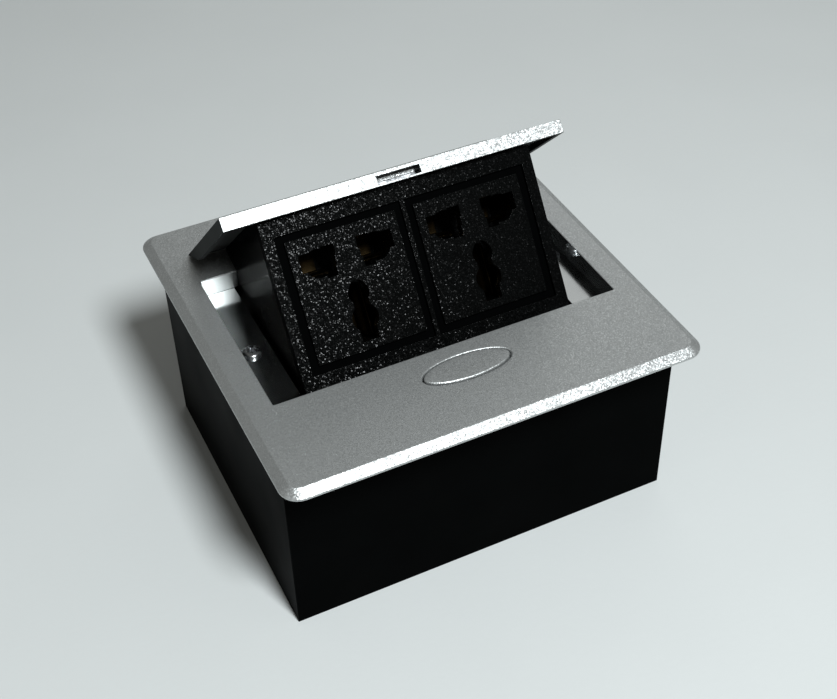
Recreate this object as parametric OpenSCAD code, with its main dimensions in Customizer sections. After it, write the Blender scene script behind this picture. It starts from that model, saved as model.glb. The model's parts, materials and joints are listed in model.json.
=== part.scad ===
// Flip-up desk power box with two multi-standard sockets, shown open.
// The plate's centre is at x = y = 0 and the case stands on z = 0.
// The flip module is drawn closed and then swung open about its pivot.

/* [Top plate] */
// Width of the top plate
panel_w = 133; // [130:1:140]
// Depth of the top plate
panel_d = 130; // [128:1:138]
// Thickness of the top plate
plate_t = 2.5; // [2.3:0.1:3]
// Radius of the plate's corners in plan
corner_r = 6; // [5:0.5:9]
// Width of the chamfer round the plate, seen from above
chamfer_w = 2.8; // [2:0.1:3.5]
// Height of the chamfer round the plate
chamfer_h = 1.8; // [1:0.1:2]
// Width of the opening for the flip module
opening_w = 112.2; // [112:0.1:114]
// Front edge of the opening, measured from the plate's centre
opening_front = -29.5; // [-30:0.1:-29.4]
// Rear edge of the opening, measured from the plate's centre
opening_rear = 33; // [32.8:0.1:33.4]
// Depth of the wall that lines the opening, below the plate's top
opening_depth = 6.3; // [6:0.1:7]

/* [Case] */
// Width of the steel case
case_w = 126.8; // [126:0.2:128]
// Depth of the steel case
case_d = 105; // [104.6:0.2:106]
// Height of the plate's underside above the case's base
case_h = 64; // [63:0.5:66]
// Thickness of the case's sheet steel
case_t = 1.1; // [1:0.1:1.4]
// Radius of the hole for the supply cable in its grommet
cable_r = 4.5; // [3.5:0.1:5]

/* [Flip module] */
// Angle that the module swings from closed to open
open_angle = 44.5; // [40:0.5:45]
// Width of the lid
lid_w = 109.8; // [109:0.2:110.4]
// Thickness of the lid at its edges
lid_t = 4.2; // [4:0.1:4.5]
// Width of the module's housing
module_w = 88.2; // [87:0.2:88.6]
// Height of the socket face
face_h = 53.3; // [52:0.1:54]
// Angle of the socket face to the lid
face_lean = 100; // [98:1:101]

/* [Sockets] */
// Width of a socket's raised pad
pad_w = 34.9; // [34.6:0.1:35.4]
// Height of a socket's raised pad
pad_h = 37.1; // [36.6:0.1:37.6]
// Distance between the two pads
pad_gap = 6; // [5.6:0.1:6.4]
// Depth of a socket's body behind the face
socket_depth = 22; // [20:0.5:24]

/* [Button and latch] */
// Length of the oval button
button_l = 28; // [26:0.5:30]
// Width of the oval button
button_w = 10.2; // [9:0.2:11]
// Centre of the button, measured from the plate's centre
button_y = -40; // [-40.5:0.1:-39.5]
// Travel of the button, and of the latch that it draws back
button_travel = 2; // [1.5:0.1:2.2]

/* [Hidden] */

$fn = 64;
eps = 0.05;           // overshoot of a cut past the face it opens
gap = 0.3;            // free gap between pieces that move past each other
fit = 0.05;           // radial clearance of a running fit

silver = [0.62, 0.63, 0.63];
steel = [0.72, 0.73, 0.75];
black = [0.05, 0.05, 0.055];
coal = [0.09, 0.09, 0.10];
brass = [0.80, 0.62, 0.28];
rubber = [0.12, 0.12, 0.12];
nylon = [0.85, 0.84, 0.80];

// Heights
top_z = case_h + plate_t;
ledge_z = top_z - opening_depth;
seat_h = 0.4;         // rebate under the plate that takes the case's rim
under_z = case_h + seat_h;
seat_gap = 0.1;

// Case walls
case_front = -53;
case_rear = case_front + case_d;
inner_x = case_w / 2 - case_t;
inner_front = case_front + case_t;
inner_rear = case_rear - case_t;
tab_t = 1.5;

// Opening and the wall that lines it
open_x = opening_w / 2;
skirt_t = 2;

// Pivot of the flip module
pivot_y = 39.6;
pivot_z = top_z - 20.3;
pin_r = 2;
bush_r = 3.2;
arm_r = 5;

// Lid, closed
lid_front = opening_front + 0.5;
lid_rear = opening_rear - 2.5;
lid_under = top_z - lid_t;
lid_skin = 2.2;
lid_lip = 2;
bevel_l = 12.5;

// Latch pocket in the lid's front
pocket_w = 14;
pocket_d = 5.5;
pocket_low = lid_under + 0.6;
pocket_high = lid_under + 3.1;

// Module housing, closed
mod_x = module_w / 2;
wall = 2;
face_top_y = lid_front + 4.2;
face_t = 3;
housing_rear = 16;
top_rear = 24.5;
housing_low = 10;
cover_t = 1.8;

// Back of the socket face at height z, closed
function face_back(z) = face_top_y + (face_t + 0.05) / sin(face_lean) - (lid_under - z) / tan(face_lean);

// Socket face: local x to the right, y up the face, z out of it
pad_top = 7.3;        // distance from the face's upper end to the pads
groove = 1.2;
stile_w = 3.6;
pad_x = pad_gap / 2 + pad_w / 2;
pin_row = 7.5;        // distance from a pad's top to its row of two pins
pole_x = 9.2;
earth_y = -20.2;
socket_wall = 1.2;
contact_top = -5;

// Bracket screws
screw_y = 0.8;
screw_x = 51.6;
bracket_x = mod_x + 1.3;
bracket_t = 1.5;

// Corner screws that hold the plate to the case
boss_x = 57;
boss_front = -46;
boss_rear = 45.5;
boss_low = 56;
boss_r = 3.5;
thread_r = 1.25;
shank_clear = 0.35;

// Latch
slider_z = 57.8;
slider_t = 1.5;
tooth_z = 63.2;
tooth_t = 1.3;
tooth_w = 12;
slider_rear = opening_front - 0.5;
riser_t = 1.5;
slider_front = -46;
guide_x = 12.3;
wedge_x = 5;
wedge_low = 56.5;
flange_t = 1.3;
wedge_top = under_z - gap - flange_t + eps;
wedge_play = 0.12;
latch_floor = 46;
latch_spring_x = 8.75;
column_x = 19;
column_r = 3.3;

// Grommet and earth screw
grommet_x = 35;
grommet_z = 16;
grommet_r = 7;
earth_screw_y = 20;
earth_screw_z = 12;

// ---------------------------------------------------------------- helpers

module mirror_x() {
    children();
    mirror([1, 0, 0]) children();
}

module box(lo, hi) {
    translate(lo) cube([hi[0] - lo[0], hi[1] - lo[1], hi[2] - lo[2]]);
}

// Rounded rectangle centred on the origin
module round_rect(w, d, r) {
    square([w - 2 * r, d], center = true);
    square([w, d - 2 * r], center = true);
    for (sx = [-1, 1], sy = [-1, 1]) {
        translate([sx * (w / 2 - r), sy * (d / 2 - r)]) circle(r);
    }
}

// Prism with chamfered sides: its profile runs along X, its lower half-depth is d1, its upper d2
module chamfer_prism(len, d1, d2, h) {
    rotate([90, 0, 90]) linear_extrude(len, center = true) {
        polygon([[-d1, 0], [d1, 0], [d2, h], [-d2, h]]);
    }
}

module ellipse(a, b) {
    polygon([for (t = [0 : 5 : 355]) [a * cos(t), b * sin(t)]]);
}

module tube(r_out, r_in, h) {
    difference() {
        cylinder(r = r_out, h = h);
        translate([0, 0, -eps]) cylinder(r = r_in, h = h + 2 * eps);
    }
}

// Pan head with a cross recess, on a plain shank, pointing down from z = 0
module cross_screw(head_r, head_h, shank_r, shank_l) {
    slot_w = head_r * 0.32;
    slot_l = head_r * 1.1;
    difference() {
        union() {
            cylinder(r1 = head_r, r2 = head_r * 0.8, h = head_h);
            translate([0, 0, -shank_l]) cylinder(r = shank_r, h = shank_l + eps);
        }
        for (a = [0, 90]) {
            rotate([0, 0, a]) translate([-slot_l / 2, -slot_w / 2, head_h * 0.35]) {
                cube([slot_l, slot_w, head_h]);
            }
        }
    }
}

// Round wire wound in a helix along +Z from z = 0 to z = len
module coil(r, wire_r, turns, len) {
    sides = 6;
    steps = 12;
    n = round(turns * steps);
    rise = len - 2 * wire_r;
    points = [for (i = [0 : n], k = [0 : sides - 1])
        let (a = 360 * i / steps, b = 360 * k / sides, q = r + wire_r * cos(b))
        [q * cos(a), q * sin(a), wire_r + rise * i / n + wire_r * sin(b)]];
    skin = [for (i = [0 : n - 1], k = [0 : sides - 1])
        let (m = (k + 1) % sides)
        [i * sides + k, i * sides + m, (i + 1) * sides + m, (i + 1) * sides + k]];
    first_end = [[for (k = [0 : sides - 1]) sides - 1 - k]];
    last_end = [[for (k = [0 : sides - 1]) n * sides + k]];
    polyhedron(points, [for (f = concat(skin, first_end, last_end)) [for (j = [len(f) - 1 : -1 : 0]) f[j]]]);
}

// Swings its children from the closed place to the open place
module swung_open() {
    translate([0, pivot_y, pivot_z]) rotate([-open_angle, 0, 0])
        translate([0, -pivot_y, -pivot_z]) children();
}

// Local frame of the socket face, with y = 0 at the pads' top
module on_face() {
    swung_open() translate([0, face_top_y, lid_under]) rotate([face_lean, 0, 0])
        translate([0, -pad_top, 0]) children();
}

// Local frame of one socket, with its row of two pins on y = 0
module on_socket(side) {
    on_face() translate([side * pad_x, -pin_row, 0]) children();
}

// ---------------------------------------------------------------- fixed pieces

module plate_blank() {
    edge_h = plate_t - chamfer_h;
    linear_extrude(edge_h + eps) round_rect(panel_w, panel_d, corner_r);
    translate([0, 0, edge_h]) {
        chamfer_prism(panel_w - 2 * corner_r, panel_d / 2, panel_d / 2 - chamfer_w, chamfer_h);
        rotate([0, 0, 90]) {
            chamfer_prism(panel_d - 2 * corner_r, panel_w / 2, panel_w / 2 - chamfer_w, chamfer_h);
        }
        for (sx = [-1, 1], sy = [-1, 1]) {
            translate([sx * (panel_w / 2 - corner_r), sy * (panel_d / 2 - corner_r), 0]) {
                cylinder(r1 = corner_r, r2 = corner_r - chamfer_w, h = chamfer_h);
            }
        }
    }
}

module top_frame() {
    color(silver) difference() {
        union() {
            difference() {
                translate([0, 0, case_h]) plate_blank();
                box([-case_w / 2 - seat_gap, case_front - seat_gap, case_h - eps],
                    [case_w / 2 + seat_gap, case_rear + seat_gap, under_z]);
            }
            box([-open_x - skirt_t, opening_front - skirt_t, ledge_z],
                [open_x + skirt_t, opening_rear + skirt_t, under_z + eps]);
            for (sx = [-1, 1], y = [boss_front, boss_rear]) {
                translate([sx * boss_x, y, boss_low]) cylinder(r = boss_r, h = under_z - boss_low + eps);
            }
        }
        box([-open_x, opening_front, ledge_z - eps], [open_x, opening_rear, top_z + eps]);
        translate([0, button_y, case_h - eps]) linear_extrude(plate_t + 2 * eps) {
            ellipse(button_l / 2 + gap, button_w / 2 + gap);
        }
        // Slot for the latch's riser and tooth
        box([-tooth_w / 2 - gap, slider_rear - riser_t - button_travel - gap, ledge_z - eps],
            [tooth_w / 2 + gap, opening_front + eps, tooth_z + tooth_t + gap]);
        for (sx = [-1, 1], y = [boss_front, boss_rear]) {
            translate([sx * boss_x, y, boss_low - eps]) cylinder(r = thread_r, h = 7);
        }
        for (sx = [-1, 1]) {
            translate([sx * column_x, button_y, case_h]) cylinder(r = thread_r, h = 1.8);
        }
    }
}

module case_shell() {
    color(black) difference() {
        union() {
            difference() {
                box([-case_w / 2, case_front, 0], [case_w / 2, case_rear, under_z]);
                box([-inner_x, inner_front, case_t], [inner_x, inner_rear, under_z + eps]);
            }
            // Corner tabs under the plate's bosses and side tabs under the brackets
            mirror_x() {
                box([boss_x - boss_r, inner_front - eps, boss_low - tab_t],
                    [inner_x + eps, boss_front + 4.5, boss_low]);
                box([boss_x - boss_r, boss_rear - 4.5, boss_low - tab_t],
                    [inner_x + eps, inner_rear + eps, boss_low]);
                box([bracket_x + bracket_t + 1, screw_y - 9, ledge_z - bracket_t - tab_t],
                    [inner_x + eps, screw_y + 9, ledge_z - bracket_t]);
            }
        }
        for (sx = [-1, 1]) {
            for (y = [boss_front, boss_rear]) {
                translate([sx * boss_x, y, boss_low - tab_t - 1]) cylinder(r = thread_r + shank_clear, h = 4);
            }
            translate([sx * screw_x, screw_y, ledge_z - 6]) cylinder(r = 1.5, h = 6);
        }
        translate([grommet_x, case_rear - case_t / 2, grommet_z]) rotate([90, 0, 0]) {
            cylinder(r = grommet_r, h = 4, center = true);
        }
        translate([inner_x, earth_screw_y, earth_screw_z]) rotate([0, 90, 0]) {
            cylinder(r = 2, h = 4, center = true);
        }
    }
}

// One bracket: a flange that shows as the ledge, and a web that carries the pivot and the stop
module bracket() {
    color(steel) difference() {
        union() {
            box([bracket_x, opening_front, ledge_z - bracket_t], [open_x + 4, opening_rear + 3.5, ledge_z]);
            box([bracket_x, 8, ledge_z - 9], [bracket_x + bracket_t, opening_rear + 3.5, ledge_z]);
            box([bracket_x, 26, 32], [bracket_x + bracket_t, pivot_y + 6, ledge_z - 4]);
            box([bracket_x - 5.5, pivot_y + 0.5, 32], [bracket_x + bracket_t, pivot_y + 6, 32 + bracket_t]);
        }
        translate([screw_x, screw_y, ledge_z - 3]) cylinder(r = 1.7, h = 4);
        translate([bracket_x - 1, pivot_y, pivot_z]) rotate([0, 90, 0]) cylinder(r = pin_r, h = 4);
    }
}

module bracket_left() {
    mirror([1, 0, 0]) bracket();
}

module bracket_right() {
    bracket();
}

module bracket_screws() {
    color(steel) for (sx = [-1, 1]) {
        translate([sx * screw_x, screw_y, ledge_z]) cross_screw(2.9, 1.6, 1.45, 5.5);
    }
}

module frame_screws() {
    color(steel) for (sx = [-1, 1], y = [boss_front, boss_rear]) {
        translate([sx * boss_x, y, boss_low - tab_t]) mirror([0, 0, 1]) {
            cross_screw(2.7, 1.6, thread_r, 7.5);
        }
    }
}

module hinge_pins() {
    color(steel) mirror_x() translate([0, pivot_y, pivot_z]) rotate([0, 90, 0]) {
        translate([0, 0, mod_x - 11]) cylinder(r = pin_r, h = bracket_x + bracket_t - mod_x + 11);
        translate([0, 0, bracket_x + bracket_t]) cylinder(r = 3.4, h = 1.4);
    }
}

// Rubber rollers on the bracket's foot that the module's tails come to rest against
module stop_bumpers() {
    color(rubber) mirror_x() translate([bracket_x - 4.8, pivot_y + 4, 32 + bracket_t + 1.5]) {
        rotate([0, 90, 0]) cylinder(r = 1.5, h = 3.5);
    }
}

module cable_grommet() {
    color(rubber) translate([grommet_x, case_rear, grommet_z]) rotate([90, 0, 0]) {
        translate([0, 0, -0.6]) tube(grommet_r + 1.6, cable_r, 0.6);
        tube(grommet_r, cable_r, case_t);
        translate([0, 0, case_t]) tube(grommet_r + 1.6, cable_r, 2);
        translate([0, 0, case_t + 2]) tube(cable_r + 1.6, cable_r, 3);
    }
}

module earth_screw() {
    color(brass) translate([inner_x, earth_screw_y, earth_screw_z]) rotate([0, -90, 0]) {
        translate([0, 0, -case_t]) cylinder(r = 2, h = case_t + 6);
        cylinder(r = 4, h = 0.8);
        translate([0, 0, 2]) cylinder(r = 3.5, h = 2.4, $fn = 6);
    }
}

// Bridge under the plate that carries the button's spring and guides the latch
module latch_housing() {
    color(coal) difference() {
        union() {
            box([-column_x - 3, -50, latch_floor], [column_x + 3, -33.5, latch_floor + 1.5]);
            box([-column_x - 3, -50, latch_floor], [column_x + 3, -48.6, slider_z + 3]);
            mirror_x() {
                translate([column_x, button_y, latch_floor]) cylinder(r = column_r, h = under_z - latch_floor);
                box([guide_x, -49, latch_floor], [guide_x + 1.5, -36.5, slider_z + slider_t]);
                box([guide_x - 1.5, -41, latch_floor], [guide_x + eps, -36.5, slider_z - 0.2]);
            }
            translate([0, button_y, latch_floor]) cylinder(r = 1.4, h = 4);
        }
        for (sx = [-1, 1]) {
            translate([sx * column_x, button_y, latch_floor - eps]) {
                cylinder(r = thread_r + shank_clear, h = case_h - latch_floor + 1);
            }
        }
    }
}

module latch_housing_screws() {
    color(steel) for (sx = [-1, 1]) {
        translate([sx * column_x, button_y, latch_floor]) mirror([0, 0, 1]) {
            cross_screw(2.6, 1.5, thread_r, case_h - latch_floor + 1.5);
        }
    }
}

module latch_springs() {
    color(steel) mirror_x() {
        translate([latch_spring_x, -48.5, slider_z + slider_t / 2]) rotate([-90, 0, 0]) {
            coil(1.2, 0.2, 7, 6);
        }
    }
}

// ---------------------------------------------------------------- button and latch

module button() {
    color(silver) {
        translate([0, button_y, under_z - gap]) linear_extrude(top_z + 0.3 - under_z + gap) {
            ellipse(button_l / 2, button_w / 2);
        }
        translate([0, button_y, under_z - gap - flange_t]) linear_extrude(flange_t + eps) {
            ellipse(button_l / 2 + 1.3, button_w / 2 + 1);
        }
        // Wedge that draws the latch back, with its sloping face to the front
        translate([0, button_y, 0]) rotate([90, 0, 90]) linear_extrude(2 * wedge_x, center = true) {
            polygon([[-0.5, wedge_low], [1, wedge_low], [1, wedge_top], [-4, wedge_top],
                     [-4, wedge_low + 3.5]]);
        }
        translate([0, button_y + 0.2, wedge_low - 3]) cylinder(r = 1.2, h = 3.1);
    }
}

module button_spring() {
    color(steel) translate([0, button_y, latch_floor + 1.5]) coil(2, 0.25, 6, wedge_low - latch_floor - 1.5);
}

// Sliding plate with a window for the button's wedge and notches for its two springs
module latch_slider() {
    // The window's front edge at height z, sloping with the wedge
    function edge(z) = button_y - 0.5 - (z - wedge_low) - wedge_play;
    window_rear = button_y + 1 + gap + button_travel;
    low = slider_z - 0.2;
    high = slider_z + slider_t + 0.2;
    color(steel) difference() {
        union() {
            box([-guide_x + gap, slider_front, slider_z], [guide_x - gap, slider_rear, slider_z + slider_t]);
            box([-tooth_w / 2, slider_rear - riser_t, slider_z], [tooth_w / 2, slider_rear, tooth_z + tooth_t]);
            box([-tooth_w / 2, slider_rear - riser_t, tooth_z],
                [tooth_w / 2, opening_front + 0.35, tooth_z + tooth_t]);
        }
        rotate([90, 0, 90]) linear_extrude(2 * wedge_x + 2 * gap, center = true) {
            polygon([[edge(low), low], [window_rear, low], [window_rear, high], [edge(high), high]]);
        }
        mirror_x() {
            box([latch_spring_x - 2, slider_front - 1, slider_z - 1],
                [latch_spring_x + 2, -40, slider_z + slider_t + 1]);
        }
    }
}

// ---------------------------------------------------------------- flip module

module lid() {
    inner_rear_y = lid_rear - lid_lip;
    color(silver) swung_open() difference() {
        box([-lid_w / 2, lid_front, lid_under], [lid_w / 2, lid_rear, top_z]);
        box([-lid_w / 2 + lid_lip, lid_front + lid_lip, lid_under - eps],
            [lid_w / 2 - lid_lip, inner_rear_y, top_z - lid_skin]);
        // Bevel that clears the plate when the lid is up
        rotate([90, 0, 90]) linear_extrude(lid_w + 2, center = true) {
            polygon([[lid_rear - bevel_l, lid_under - eps], [lid_rear + 1, lid_under - eps],
                     [lid_rear + 1, top_z - 0.4], [lid_rear, top_z - 0.4]]);
        }
        box([-pocket_w / 2, lid_front - eps, pocket_low], [pocket_w / 2, lid_front + pocket_d, pocket_high]);
        lid_screw_places() cylinder(r = thread_r, h = 3.5);
    }
}

// Plate at the back of the latch pocket
module strike_plate() {
    color(steel) swung_open() {
        box([-9, lid_front + pocket_d, pocket_low], [9, lid_front + pocket_d + 0.8, top_z - lid_skin]);
    }
}

module lid_screw_places() {
    for (sx = [-1, 1], y = [-12, 2]) {
        translate([sx * (mod_x - wall - 7), y, lid_under]) children();
    }
}

module lid_screws() {
    color(steel) swung_open() lid_screw_places() mirror([0, 0, 1]) {
        cross_screw(2.6, 1.4, thread_r, 3.4);
    }
}

// Outline of the housing's side wall in the closed place, with y across and z up
module side_outline() {
    polygon([[face_back(lid_under), lid_under], [top_rear, lid_under], [19.9, lid_under - 6.1],
             [25.2, pivot_z + 4.6], [pivot_y, pivot_z + arm_r], [pivot_y + 8.4, pivot_z + 1.8],
             [pivot_y + 8.4, pivot_z - 2.2], [pivot_y, pivot_z - arm_r], [24, pivot_z - 8],
             [housing_rear, 30], [housing_rear, housing_low], [face_back(housing_low), housing_low]]);
}

module side_wall() {
    difference() {
        translate([mod_x - wall, 0, 0]) rotate([90, 0, 90]) linear_extrude(wall) side_outline();
        translate([mod_x - wall - 1, pivot_y, pivot_z]) rotate([0, 90, 0]) cylinder(r = bush_r, h = 4);
    }
}

module module_housing() {
    inner = mod_x - wall + eps;
    post = 6;
    color(black) swung_open() difference() {
        union() {
            mirror_x() side_wall();
            box([-mod_x, face_back(lid_under), lid_under], [mod_x, top_rear, top_z - lid_skin]);
            box([-inner, face_back(housing_low), housing_low], [inner, housing_rear, housing_low + wall]);
            // Corner posts for the rear cover's screws
            mirror_x() {
                box([inner - post, housing_rear - cover_t - 8, lid_under - 7],
                    [inner, housing_rear - cover_t, lid_under + eps]);
                box([inner - post, housing_rear - cover_t - 8, housing_low + wall - eps],
                    [inner, housing_rear - cover_t, housing_low + wall + 7]);
            }
        }
        lid_screw_places() cylinder(r = thread_r + shank_clear, h = 8, center = true);
        cover_screw_places() cylinder(r = thread_r, h = 7);
    }
}

// Places of the rear cover's screws, with z pointing into the posts
module cover_screw_places() {
    for (sx = [-1, 1], z = [lid_under - 3.5, housing_low + wall + 3.5]) {
        translate([sx * (mod_x - wall - 3), housing_rear - cover_t, z]) rotate([90, 0, 0]) children();
    }
}

module rear_cover() {
    color(black) swung_open() difference() {
        box([-mod_x + wall, housing_rear - cover_t, housing_low + wall],
            [mod_x - wall, housing_rear, lid_under]);
        cover_screw_places() cylinder(r = thread_r + shank_clear, h = 6, center = true);
        translate([0, housing_rear, housing_low + wall + 10]) rotate([90, 0, 0]) {
            cylinder(r = cable_r + 0.5, h = 8, center = true);
        }
    }
}

module rear_cover_screws() {
    color(steel) swung_open() cover_screw_places() translate([0, 0, -cover_t]) mirror([0, 0, 1]) {
        cross_screw(2.6, 1.4, thread_r, 6.5);
    }
}

module hinge_bushes() {
    color(nylon) swung_open() mirror_x() {
        translate([0, pivot_y, pivot_z]) rotate([0, 90, 0]) {
            translate([0, 0, mod_x - wall]) tube(bush_r, pin_r + fit, wall);
            translate([0, 0, mod_x]) tube(4.4, pin_r + fit, 1);
        }
    }
}

// Springs wound close round the pins' inner ends, each with two straight legs
module torsion_springs() {
    coil_r = 3.1;
    wire_r = 0.5;
    turns = 7;
    pitch = 1.85 * wire_r;
    last = wire_r + (turns - 1) * pitch;
    color(steel) swung_open() mirror_x() {
        translate([mod_x - wall - 0.6 - last - wire_r, pivot_y, pivot_z]) {
            rotate([0, 90, 0]) rotate_extrude() {
                for (i = [0 : turns - 1]) {
                    translate([coil_r, wire_r + i * pitch]) circle(wire_r);
                }
            }
            translate([wire_r, 0, -coil_r]) rotate([90, 0, 0]) cylinder(r = 0.9 * wire_r, h = 15);
            translate([last, 0, -coil_r]) rotate([-100, 0, 0]) cylinder(r = 0.9 * wire_r, h = 6);
        }
    }
}

// ---------------------------------------------------------------- socket face, on the flip module

module pad_windows(grow) {
    for (side = [-1, 1]) {
        translate([side * pad_x, -pad_h / 2]) square([pad_w + 2 * grow, pad_h + 2 * grow], center = true);
    }
}

module face_frame() {
    low = face_h - pad_top;
    color(coal) on_face() difference() {
        box([-mod_x, -low, -face_t], [mod_x, pad_top, 0]);
        // Sunk field round the pads, split by a thin middle bar
        for (side = [-1, 1]) {
            x0 = side > 0 ? 0.75 : -mod_x + stile_w;
            x1 = side > 0 ? mod_x - stile_w : -0.75;
            box([x0, -pad_h - 2.4, -groove], [x1, 2.2, eps]);
        }
        translate([0, 0, -face_t - eps]) linear_extrude(face_t) pad_windows(-1 + 0.1);
    }
}

// Outline of one pole's aperture: flat and upright slots and a round pin's hole, run together
module pole_outline() {
    translate([3.9, -2.7]) square([10.75, 5.4]);
    translate([3.5, 0]) square([4, 3.5]);
    translate([4.3, -5.9]) square([3.4, 6]);
    translate([pole_x, -1]) circle(4.3);
}

module earth_outline() {
    translate([0, -12.6]) circle(3.25);
    translate([0, -11.2]) circle(2.5);
    translate([-2.4, -20]) square([4.8, 7.5]);
    translate([0, earth_y]) circle(4.15);
    translate([-2.7, -27.1]) square([5.4, 7]);
}

module aperture_outlines() {
    pole_outline();
    mirror([1, 0]) pole_outline();
    earth_outline();
}

// Socket body: a raised pad with its apertures, and a box behind it that is open at the back
module socket(side) {
    half = pad_w / 2 - 1;
    body_top = pin_row - 1;
    body_low = pin_row - pad_h + 1;
    color(coal) on_socket(side) difference() {
        union() {
            box([-pad_w / 2, pin_row - pad_h, -groove], [pad_w / 2, pin_row, 0]);
            box([-half, body_low, -socket_depth], [half, body_top, -groove + eps]);
        }
        box([-half + socket_wall, body_low + socket_wall, -socket_depth - eps],
            [half - socket_wall, body_top - socket_wall, -3.5]);
        translate([0, 0, -4]) linear_extrude(5) aperture_outlines();
    }
}

module socket_left() {
    socket(-1);
}

module socket_right() {
    socket(1);
}

// Cap on the back of a socket, slotted for the three contacts' tails
module socket_back(side) {
    half = pad_w / 2 - 1;
    color(coal) on_socket(side) difference() {
        box([-half, pin_row - pad_h + 1, -socket_depth - 2], [half, pin_row - 1, -socket_depth]);
        for (p = [[-pole_x, 2], [pole_x, -4], [0, earth_y]]) {
            translate([p[0], p[1], -socket_depth - 1]) cube([4.2, 1.4, 4], center = true);
        }
    }
}

module socket_back_left() {
    socket_back(-1);
}

module socket_back_right() {
    socket_back(1);
}

// Sprung brass sleeve behind an aperture, with a tail through the socket's back
module contact(side, x, y, w, h, tail_y) {
    metal = 0.8;
    length = socket_depth + contact_top - 1;
    color(brass) on_socket(side) translate([x, y, 0]) {
        difference() {
            translate([-w / 2, -h / 2, contact_top - length]) cube([w, h, length]);
            translate([-w / 2 + metal, -h / 2 + metal, contact_top - length + metal]) {
                cube([w - 2 * metal, h - 2 * metal, length]);
            }
        }
        translate([-2, tail_y - y - 0.6, -socket_depth - 3.2]) cube([4, 1.2, 4.4]);
    }
}

module live_contact(side) {
    contact(side, -pole_x, -1, 9.5, 9, 2);
}

module neutral_contact(side) {
    contact(side, pole_x, -1, 9.5, 9, -4);
}

module earth_contact(side) {
    contact(side, 0, -18.6, 8, 17, earth_y);
}

module live_contact_left() {
    live_contact(-1);
}

module live_contact_right() {
    live_contact(1);
}

module neutral_contact_left() {
    neutral_contact(-1);
}

module neutral_contact_right() {
    neutral_contact(1);
}

module earth_contact_left() {
    earth_contact(-1);
}

module earth_contact_right() {
    earth_contact(1);
}

// Brass strap that joins the same pole of both sockets
module busbar(x, y) {
    reach = 7;
    z = -socket_depth - 4.2;
    color(brass) on_face() difference() {
        box([-pad_x + x - 3, y - pin_row - 1.8, z], [pad_x + x + reach, y - pin_row + 1.8, z + 1]);
        translate([pad_x + x + 4.5, y - pin_row, z - 1]) cylinder(r = thread_r, h = 3);
    }
}

module busbar_live() {
    busbar(-pole_x, 2);
}

module busbar_neutral() {
    busbar(pole_x, -4);
}

module busbar_earth() {
    busbar(0, earth_y);
}

module terminal_screws() {
    z = -socket_depth - 4.2;
    color(steel) on_face() for (p = [[-pole_x, 2], [pole_x, -4], [0, earth_y]]) {
        translate([pad_x + p[0] + 4.5, p[1] - pin_row, z]) mirror([0, 0, 1]) {
            cross_screw(1.75, 1.4, thread_r, 1.9);
        }
    }
}

// ---------------------------------------------------------------- nodes

top_frame();
case_shell();
bracket_left();
bracket_right();
bracket_screws();
frame_screws();
hinge_pins();
stop_bumpers();
cable_grommet();
earth_screw();
latch_housing();
latch_housing_screws();
latch_springs();
button();
button_spring();
latch_slider();
lid();
strike_plate();
lid_screws();
module_housing();
rear_cover();
rear_cover_screws();
hinge_bushes();
torsion_springs();
face_frame();
socket_left();
socket_right();
socket_back_left();
socket_back_right();
live_contact_left();
live_contact_right();
neutral_contact_left();
neutral_contact_right();
earth_contact_left();
earth_contact_right();
busbar_live();
busbar_neutral();
busbar_earth();
terminal_screws();
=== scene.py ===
# Looks of the flip-up desk power box, built round its CAD frame.
# Lengths below are millimetres in the row frame unless a name says otherwise.
import json
import math

import bmesh
import bpy
from mathutils import Matrix, Vector

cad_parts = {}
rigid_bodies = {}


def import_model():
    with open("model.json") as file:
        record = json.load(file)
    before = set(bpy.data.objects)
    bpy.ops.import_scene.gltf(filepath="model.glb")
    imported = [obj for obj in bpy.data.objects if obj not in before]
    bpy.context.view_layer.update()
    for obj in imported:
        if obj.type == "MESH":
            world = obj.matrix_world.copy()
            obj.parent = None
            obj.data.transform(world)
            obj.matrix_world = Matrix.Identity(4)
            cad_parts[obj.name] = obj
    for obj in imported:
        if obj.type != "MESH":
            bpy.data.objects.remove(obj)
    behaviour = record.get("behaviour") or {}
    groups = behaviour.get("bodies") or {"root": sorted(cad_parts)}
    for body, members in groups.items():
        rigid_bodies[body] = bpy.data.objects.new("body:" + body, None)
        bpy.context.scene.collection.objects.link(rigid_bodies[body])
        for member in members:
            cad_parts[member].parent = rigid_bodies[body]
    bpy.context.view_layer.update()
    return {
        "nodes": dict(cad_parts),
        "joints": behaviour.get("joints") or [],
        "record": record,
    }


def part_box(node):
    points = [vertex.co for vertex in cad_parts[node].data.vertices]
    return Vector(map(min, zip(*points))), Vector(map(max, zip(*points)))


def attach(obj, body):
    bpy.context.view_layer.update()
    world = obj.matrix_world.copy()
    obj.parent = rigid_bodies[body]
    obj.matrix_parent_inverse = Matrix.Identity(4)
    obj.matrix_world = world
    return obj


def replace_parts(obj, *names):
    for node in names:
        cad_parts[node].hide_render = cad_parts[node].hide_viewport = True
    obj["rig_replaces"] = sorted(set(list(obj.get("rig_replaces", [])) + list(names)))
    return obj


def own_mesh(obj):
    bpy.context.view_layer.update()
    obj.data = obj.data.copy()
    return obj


MM = 0.001
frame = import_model()
NODES = frame["nodes"]
BODY_OF = {n: body for body, members in frame["record"]["behaviour"]["bodies"].items() for n in members}
SLOT_OF = {s["node"]: s["material_slot"] for s in frame["record"]["subparts"]}


# ---------------------------------------------------------------- material helpers

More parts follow.
